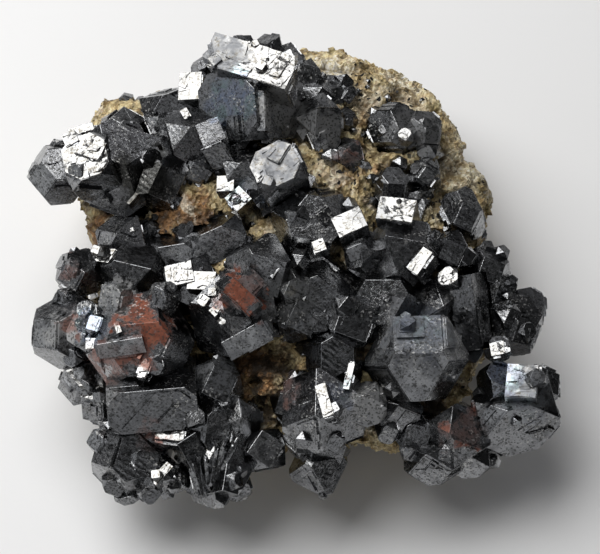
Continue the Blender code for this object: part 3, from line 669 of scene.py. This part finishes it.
def mesh_in_order(shape, layer, name):
    """A mesh of the shape. Its faces come in the same order in each run, because the scatters count them."""
    shape.verts.index_update()
    found = []
    for face in shape.faces:
        corners = [vert.index for vert in face.verts]
        first = corners.index(min(corners))
        found.append((corners[first:] + corners[:first], tuple(face[layer])))
    found.sort()
    mesh = bpy.data.meshes.new(name)
    mesh.from_pydata([vert.co for vert in shape.verts], [], [corners for corners, look in found])
    looks = mesh.attributes.new("face_look", "FLOAT_COLOR", "FACE")
    for value, (corners, look) in zip(looks.data, found):
        value.color = look
    return mesh


def finished_crystals(shape, name, material, chance):
    """Crystals with worn edges, growth plates and cleavage steps, from their flat faces."""
    layer = shape.faces.layers.float_color.new("face_look")
    faces = [FlatFace(face, chance) for face in shape.faces]
    for face, data in zip(shape.faces, faces):
        face[layer] = data.look
    sharp = [
        edge
        for edge in shape.edges
        if edge.is_manifold
        and edge.calc_length() > SHORTEST_WORN * MM
        and edge.calc_face_angle_signed(0) > math.radians(BLUNTEST_WORN)
    ]
    wear = EDGE_WEAR * MM
    bmesh.ops.bevel(
        shape, geom=sharp, offset=wear, segments=1, affect="EDGES", clamp_overlap=False, loop_slide=False
    )
    for data in faces:
        if data.cleaved:
            splinters_on(shape, layer, data, chance)
        elif data.size > SMALLEST_PLATED:
            plates_on(shape, layer, data, chance)
    bmesh.ops.triangulate(shape, faces=shape.faces)
    mesh = mesh_in_order(shape, layer, name)
    shape.free()
    keep_in_box(mesh)
    mesh.materials.append(material)
    piece = linked(mesh, name + "_surface")
    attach(piece, "root")
    return piece


def cluster_piece(name, material, chance):
    piece = finished_crystals(flat_faced(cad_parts[name]), name, material, chance)
    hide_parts(name)
    return piece


def solid_ground():
    """The CAD surface, to stand small crystals on."""
    points, faces = [], []
    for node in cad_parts.values():
        start = len(points)
        points += [node.matrix_world @ vert.co for vert in node.data.vertices]
        faces += [[start + index for index in face.vertices] for face in node.data.polygons]
    return BVHTree.FromPolygons(points, faces)


def add_small_crystal(shape, ground, crystal, chance):
    """Adds one crystal, cut from a cube, where a ray along w meets the specimen."""
    u, v, stands_out, half, cut, toward, lean, spin, stretch = crystal
    out = FACE_TO_ROW.to_3x3() @ Vector((0, 0, 1))
    surface = ground.ray_cast(FACE_TO_ROW @ (Vector((u, v, 150)) * MM), -out)[0]
    if surface is None:
        return
    one = bmesh.new()
    bmesh.ops.create_cube(one, size=2)
    for vert in one.verts:
        vert.co = [c * half * s * chance.uniform(0.93, 1.07) for c, s in zip(vert.co, stretch)]
    if cut < 3:
        reach = half * sum(stretch) / 3 * cut / math.sqrt(3)
        cut_corners(one, reach, chance)
    turn = (FACE_TO_ROW.to_3x3() @ turn_of(toward, lean, spin)).to_4x4()
    middle = surface + out * (stands_out - half * stretch[2]) * MM
    place = Matrix.Translation(middle) @ turn @ Matrix.Scale(MM, 4)
    bmesh.ops.transform(one, matrix=place, verts=one.verts)
    bmesh.ops.recalc_face_normals(one, faces=one.faces)
    mesh = bpy.data.meshes.new("small_crystal")
    one.to_mesh(mesh)
    one.free()
    shape.from_mesh(mesh)
    bpy.data.meshes.remove(mesh)


def cut_corners(shape, reach, chance=None):
    """Cuts the eight corners of a cube at this distance from its centre."""
    for x in (-1, 1):
        for y in (-1, 1):
            for z in (-1, 1):
                away = Vector((x, y, z)).normalized()
                everything = shape.verts[:] + shape.edges[:] + shape.faces[:]
                at = away * reach * (chance.uniform(0.9, 1.1) if chance else 1)
                cut = bmesh.ops.bisect_plane(
                    shape, geom=everything, plane_co=at, plane_no=away, clear_outer=True
                )
                rim = [part for part in cut["geom_cut"] if isinstance(part, bmesh.types.BMEdge)]
                if rim:
                    bmesh.ops.edgeloop_fill(shape, edges=rim)


def small_crystals_piece(material, chance):
    """The small crystals that stand on the large ones, and the fan of plates at the lower left."""
    ground = solid_ground()
    shape = bmesh.new()
    left_blocks = LEFT_POINT_BLOCKS + CROWN_BLOCKS + RED_CRYSTAL_BLOCKS + LOWER_LEFT_BLOCKS
    for crystal in left_blocks + CENTRE_BLOCKS + RIGHT_BLOCKS:
        add_small_crystal(shape, ground, crystal, chance)
    for index in range(FAN_PLATES):
        share = index / (FAN_PLATES - 1)
        u = FAN_FIRST[0] + (FAN_LAST[0] - FAN_FIRST[0]) * share
        v = FAN_FIRST[1] + (FAN_LAST[1] - FAN_FIRST[1]) * share + chance.uniform(-0.6, 0.6)
        spin = FAN_SPINS[0] + (FAN_SPINS[1] - FAN_SPINS[0]) * share + chance.uniform(-7, 7)
        plate = (u, v, 1.4, 2.4, 2.6, chance.uniform(-140, 0), chance.uniform(8, 28), spin, (0.16, 1.7, 1.2))
        add_small_crystal(shape, ground, plate, chance)
    return finished_crystals(shape, "small_crystals", material, chance)


# The siderite matrix


def matrix_piece(material):
    """The matrix's rough surface: ledges, grains and small vugs over the CAD matrix, flat at its base."""
    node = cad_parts["matrix"]
    mesh = node.data.copy()
    mesh.transform(node.matrix_world)
    piece = linked(mesh, "matrix_surface")
    weld = piece.modifiers.new("weld", "WELD")
    weld.merge_threshold = WELD * MM
    remesh = piece.modifiers.new("remesh", "REMESH")
    remesh.mode = "VOXEL"
    remesh.voxel_size = VOXEL * MM
    remesh.use_smooth_shade = False
    rough = worked_mesh(piece)
    bpy.data.objects.remove(piece)

    depths = rough.attributes.new("depth", "FLOAT", "POINT")
    normals = [vert.normal.copy() for vert in rough.vertices]
    for vert, normal in zip(rough.vertices, normals):
        place = vert.co / MM
        block = noise.voronoi(place / BLOCK_SIZE)[1][0]
        facet = (place - block * BLOCK_SIZE).dot(noise.cell_vector(block * BLOCK_SPREAD) - HALF) * BLOCK_TILT
        chip = noise.voronoi(place / CHIP_SIZE)[1][0]
        facet += (place - chip * CHIP_SIZE).dot(noise.cell_vector(chip * BLOCK_SPREAD) - HALF) * BLOCK_TILT
        swell = noise.fractal(place / SWELL_SIZE, 1.0, 2.1, 4)
        vuggy = ease(noise.noise(place / VUGGY_SIZE + Vector((2, 6, 3))), -0.05, 0.3)
        vug = vuggy * ease(noise.noise(place / VUG_SIZE + Vector((7, 1, 4))), 0.2, 0.5)
        grains = noise.noise(place * 1.3)
        push = facet + SWELL_HEIGHT * swell + GRAIN_HEIGHT * grains - VUG_DEPTH * vug
        clear = ease(place.z, SMOOTH_FOOT, ROUGH_FROM)
        vert.co += normal * push * clear * MM
        # How sunken the point is; the siderite material darkens it by this as painted shade
        depths.data[vert.index].value = min(max(-push * clear * SUNKEN_SHADE, 0), 1)
    keep_in_box(rough)
    rough.materials.clear()
    rough.materials.append(material)
    rough.polygons.foreach_set("use_smooth", [False] * len(rough.polygons))
    piece = linked(rough, "matrix_surface")
    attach(piece, "root")
    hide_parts("matrix")
    return piece


# Scattered grains and small crystals


def seed_shape(name, stretch, shear, corners):
    """A small cube, sheared to a rhomb or with its corners cut, as the shape that a scatter repeats."""
    shape = bmesh.new()
    bmesh.ops.create_cube(shape, size=2)
    for vert in shape.verts:
        vert.co.x += shear * vert.co.z
        vert.co.z *= stretch
    if corners:
        cut_corners(shape, corners)
    bmesh.ops.recalc_face_normals(shape, faces=shape.faces)
    mesh = bpy.data.meshes.new(name)
    shape.to_mesh(mesh)
    shape.free()
    piece = linked(mesh, name)
    piece.hide_render = True
    return piece


def scatter_tree(name, seed_object, material, seed, neighbour):
    """Scatters the seed shape in patches over a surface, sunk into it, within reach of the neighbour."""
    group = bpy.data.node_groups.new(name, "GeometryNodeTree")
    t = Tree(group)
    face = group.interface
    face.new_socket("Geometry", in_out="INPUT", socket_type="NodeSocketGeometry")
    for label in ("Density", "Smallest", "Largest", "Patch Size", "Patch Edge", "Sink", "Lean", "Reach"):
        face.new_socket(label, in_out="INPUT", socket_type="NodeSocketFloat")
    face.new_socket("Geometry", in_out="OUTPUT", socket_type="NodeSocketGeometry")
    given = t.add("NodeGroupInput").outputs

    patch = t.add("ShaderNodeTexNoise", {"Scale": given["Patch Size"], "Detail": 2.0}).outputs[0]
    patch_inside = t.math("ADD", given["Patch Edge"], PATCH_FADE)
    chosen = t.step(patch, given["Patch Edge"], patch_inside, "LINEAR")
    neighbours = t.add("GeometryNodeObjectInfo")
    neighbours.inputs["Object"].default_value = neighbour
    away = t.add("GeometryNodeProximity", {0: neighbours.outputs["Geometry"]}, target_element="FACES")
    close = t.math("LESS_THAN", away.outputs["Distance"], given["Reach"])
    density = t.math("MULTIPLY", t.math("MULTIPLY", given["Density"], chosen), close)
    spread = t.add(
        "GeometryNodeDistributePointsOnFaces",
        {"Mesh": given["Geometry"], "Density": density, "Seed": seed},
        distribute_method="RANDOM",
    )
    size = t.add("FunctionNodeRandomValue", {2: 0.0, 3: 1.0, "Seed": seed + 1}, data_type="FLOAT")
    skewed = t.math("POWER", size.outputs[1], MOSTLY_SMALL)
    spanned = t.math("MULTIPLY", skewed, t.math("SUBTRACT", given["Largest"], given["Smallest"]))
    scale = t.math("ADD", given["Smallest"], spanned)
    turn = t.add("FunctionNodeRandomValue", {"Seed": seed + 2}, data_type="FLOAT_VECTOR")
    other_way = t.math("MULTIPLY", given["Lean"], -1.0)
    low = t.add("ShaderNodeCombineXYZ", {0: other_way, 1: other_way, 2: -math.pi})
    high = t.add("ShaderNodeCombineXYZ", {0: given["Lean"], 1: given["Lean"], 2: math.pi})
    t.feed(turn.inputs[0], low)
    t.feed(turn.inputs[1], high)
    facing_out = spread.outputs["Rotation"]
    turned = t.add("FunctionNodeRotateRotation", {0: facing_out, 1: turn.outputs[0]}, rotation_space="LOCAL")
    copies = t.add(
        "GeometryNodeInstanceOnPoints",
        {"Points": spread.outputs["Points"], "Rotation": turned, "Scale": scale},
    )
    shape = t.add("GeometryNodeObjectInfo")
    shape.inputs["Object"].default_value = seed_object
    t.feed(copies.inputs["Instance"], shape.outputs["Geometry"])
    drop = t.add("ShaderNodeCombineXYZ", {2: t.math("MULTIPLY", given["Sink"], -1.0)})
    sunk = t.add(
        "GeometryNodeTranslateInstances", {"Instances": copies, "Translation": drop, "Local Space": True}
    )
    real = t.add("GeometryNodeRealizeInstances", {0: sunk})
    painted = t.add("GeometryNodeSetMaterial", {"Geometry": real, "Material": material})
    t.add("NodeGroupOutput", {0: painted})
    return group


def scattered(name, ground, tree, values, look=None):
    """The scatter over one piece's surface, as a plain mesh of its own."""
    piece = linked(ground.data.copy(), name)
    grow = piece.modifiers.new("scatter", "NODES")
    grow.node_group = tree
    for item in tree.interface.items_tree:
        if item.in_out == "INPUT" and item.name in values:
            grow[item.identifier] = values[item.name]
    mesh = worked_mesh(piece)
    bpy.data.objects.remove(piece)
    keep_in_box(mesh)
    if look:
        layer = mesh.attributes.new("face_look", "FLOAT_COLOR", "FACE")
        chance = random.Random(TONE_SEED)
        for value in layer.data:
            value.color = (chance.random(), *look)
    piece = linked(mesh, name)
    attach(piece, "root")
    return piece


# Floor, light and camera


def area_light(name, toward, lean, distance, size, power, colour):
    """A square lamp that shines on the crystal face from this direction and distance, in metres."""
    light = bpy.data.lights.new(name, "AREA")
    light.shape = "SQUARE"
    light.size = size
    light.energy = power
    light.color = colour
    lamp = bpy.data.objects.new(name, light)
    bpy.context.scene.collection.objects.link(lamp)
    away = FACE_TO_ROW.to_3x3() @ face_direction(toward, lean)
    lamp.location = FACE_TO_ROW.translation + away * distance
    lamp.rotation_euler = (-away).to_track_quat("-Z", "Y").to_euler()


def build_stage():
    ground = bmesh.new()
    bmesh.ops.create_circle(ground, cap_ends=True, segments=96, radius=4)
    mesh = bpy.data.meshes.new("floor")
    ground.to_mesh(mesh)
    ground.free()
    mesh.materials.append(floor_material())
    floor = linked(mesh, "floor")

    area_light("key window", 120, 52, 0.5, 0.46, 3.2, (1.0, 0.995, 0.985))
    area_light("low front card", -90, 34, 0.9, 0.7, 0.77, (0.97, 0.98, 1.0))
    area_light("left card", 186, 68, 1.1, 0.95, 1.5, (0.95, 0.97, 1.0))

    world = bpy.data.worlds.new("studio")
    bpy.context.scene.world = world
    world.use_nodes = True
    sky = Tree(world.node_tree)
    direction = sky.add("ShaderNodeTexCoord").outputs["Generated"]
    towards_ceiling = sky.add("ShaderNodeVectorMath", {0: direction, 1: CEILING}, operation="DOT_PRODUCT")
    share = sky.step(towards_ceiling.outputs["Value"], 0.35, 0.95)
    colour = sky.mix(share, (0.031, 0.0315, 0.032), (0.28, 0.28, 0.29))
    background = sky.add("ShaderNodeBackground", {"Color": colour})
    sky.add("ShaderNodeOutputWorld", {"Surface": background})


def build_camera():
    camera = bpy.data.cameras.new("camera")
    camera.sensor_width = 36
    camera.lens = 36 * (CAMERA_DISTANCE - FOCUS_HEIGHT) / VIEW_WIDTH
    camera.clip_start = 0.01
    eye = bpy.data.objects.new("camera", camera)
    bpy.context.scene.collection.objects.link(eye)
    eye.location = FACE_TO_ROW @ Vector((0, 0, CAMERA_DISTANCE * MM))
    eye.rotation_euler = (math.radians(FACE_LEAN), 0, 0)
    bpy.context.scene.camera = eye


def all_crystals(pieces):
    """One object with every crystal cluster, which the scatters measure their distance from."""
    shape = bmesh.new()
    for piece in pieces:
        shape.from_mesh(piece.data)
    mesh = bpy.data.meshes.new("all_crystals")
    shape.to_mesh(mesh)
    shape.free()
    return linked(mesh, "all_crystals")


def build():
    galena = galena_material()
    siderite = siderite_material()
    chance = random.Random(SHAPE_SEED)
    crystals = {name: cluster_piece(name, galena, chance) for name in sorted(GALENA_NODES)}
    small_crystals_piece(galena, chance)
    matrix = matrix_piece(siderite)

    rhomb = seed_shape("rhomb", 0.8, 0.35, 0)
    stub = seed_shape("stub", 1.0, 0.0, 1.2)
    clusters = all_crystals(crystals.values())
    grains = scatter_tree("siderite grains", rhomb, siderite, GRAIN_SEED, clusters)
    ore = scatter_tree("ore crystals", stub, galena, ORE_SEED, clusters)
    everywhere = {"Reach": 1.0, "Sink": 0.1 * MM}
    scattered("matrix_grains", matrix, grains, everywhere | {
        "Density": 9e4, "Smallest": 0.2 * MM, "Largest": 0.75 * MM, "Patch Size": 60.0, "Patch Edge": 0.35,
        "Lean": 1.2,
    })
    scattered("matrix_ore_crystals", matrix, ore, everywhere | {
        "Density": 2.2e4, "Smallest": 0.3 * MM, "Largest": 1.5 * MM, "Patch Size": 90.0, "Patch Edge": 0.5,
        "Lean": 0.6,
    }, ORE_LOOK)
    scattered("foot_crystals", matrix, ore, everywhere | {
        "Density": 9e4, "Smallest": 0.6 * MM, "Largest": 2.2 * MM, "Patch Size": 70.0, "Patch Edge": 0.42,
        "Lean": 0.8, "Reach": 1.6 * MM,
    }, ORE_LOOK)
    for name in ("centre_crystals", "lower_left_crystals", "crown_crystals", "left_point_crystals",
                 "lower_right_crystals", "right_edge_crystals"):
        scattered(name + "_overgrowth", crystals[name], ore, everywhere | {
            "Density": 3.0e4, "Smallest": 0.25 * MM, "Largest": 1.5 * MM, "Patch Size": 110.0,
            "Patch Edge": 0.54, "Lean": 0.05,
        }, ORE_LOOK)
    for helper in (rhomb, stub, clusters):
        bpy.data.objects.remove(helper)

    build_stage()
    build_camera()
    bpy.context.scene.view_settings.view_transform = "Standard"


build()
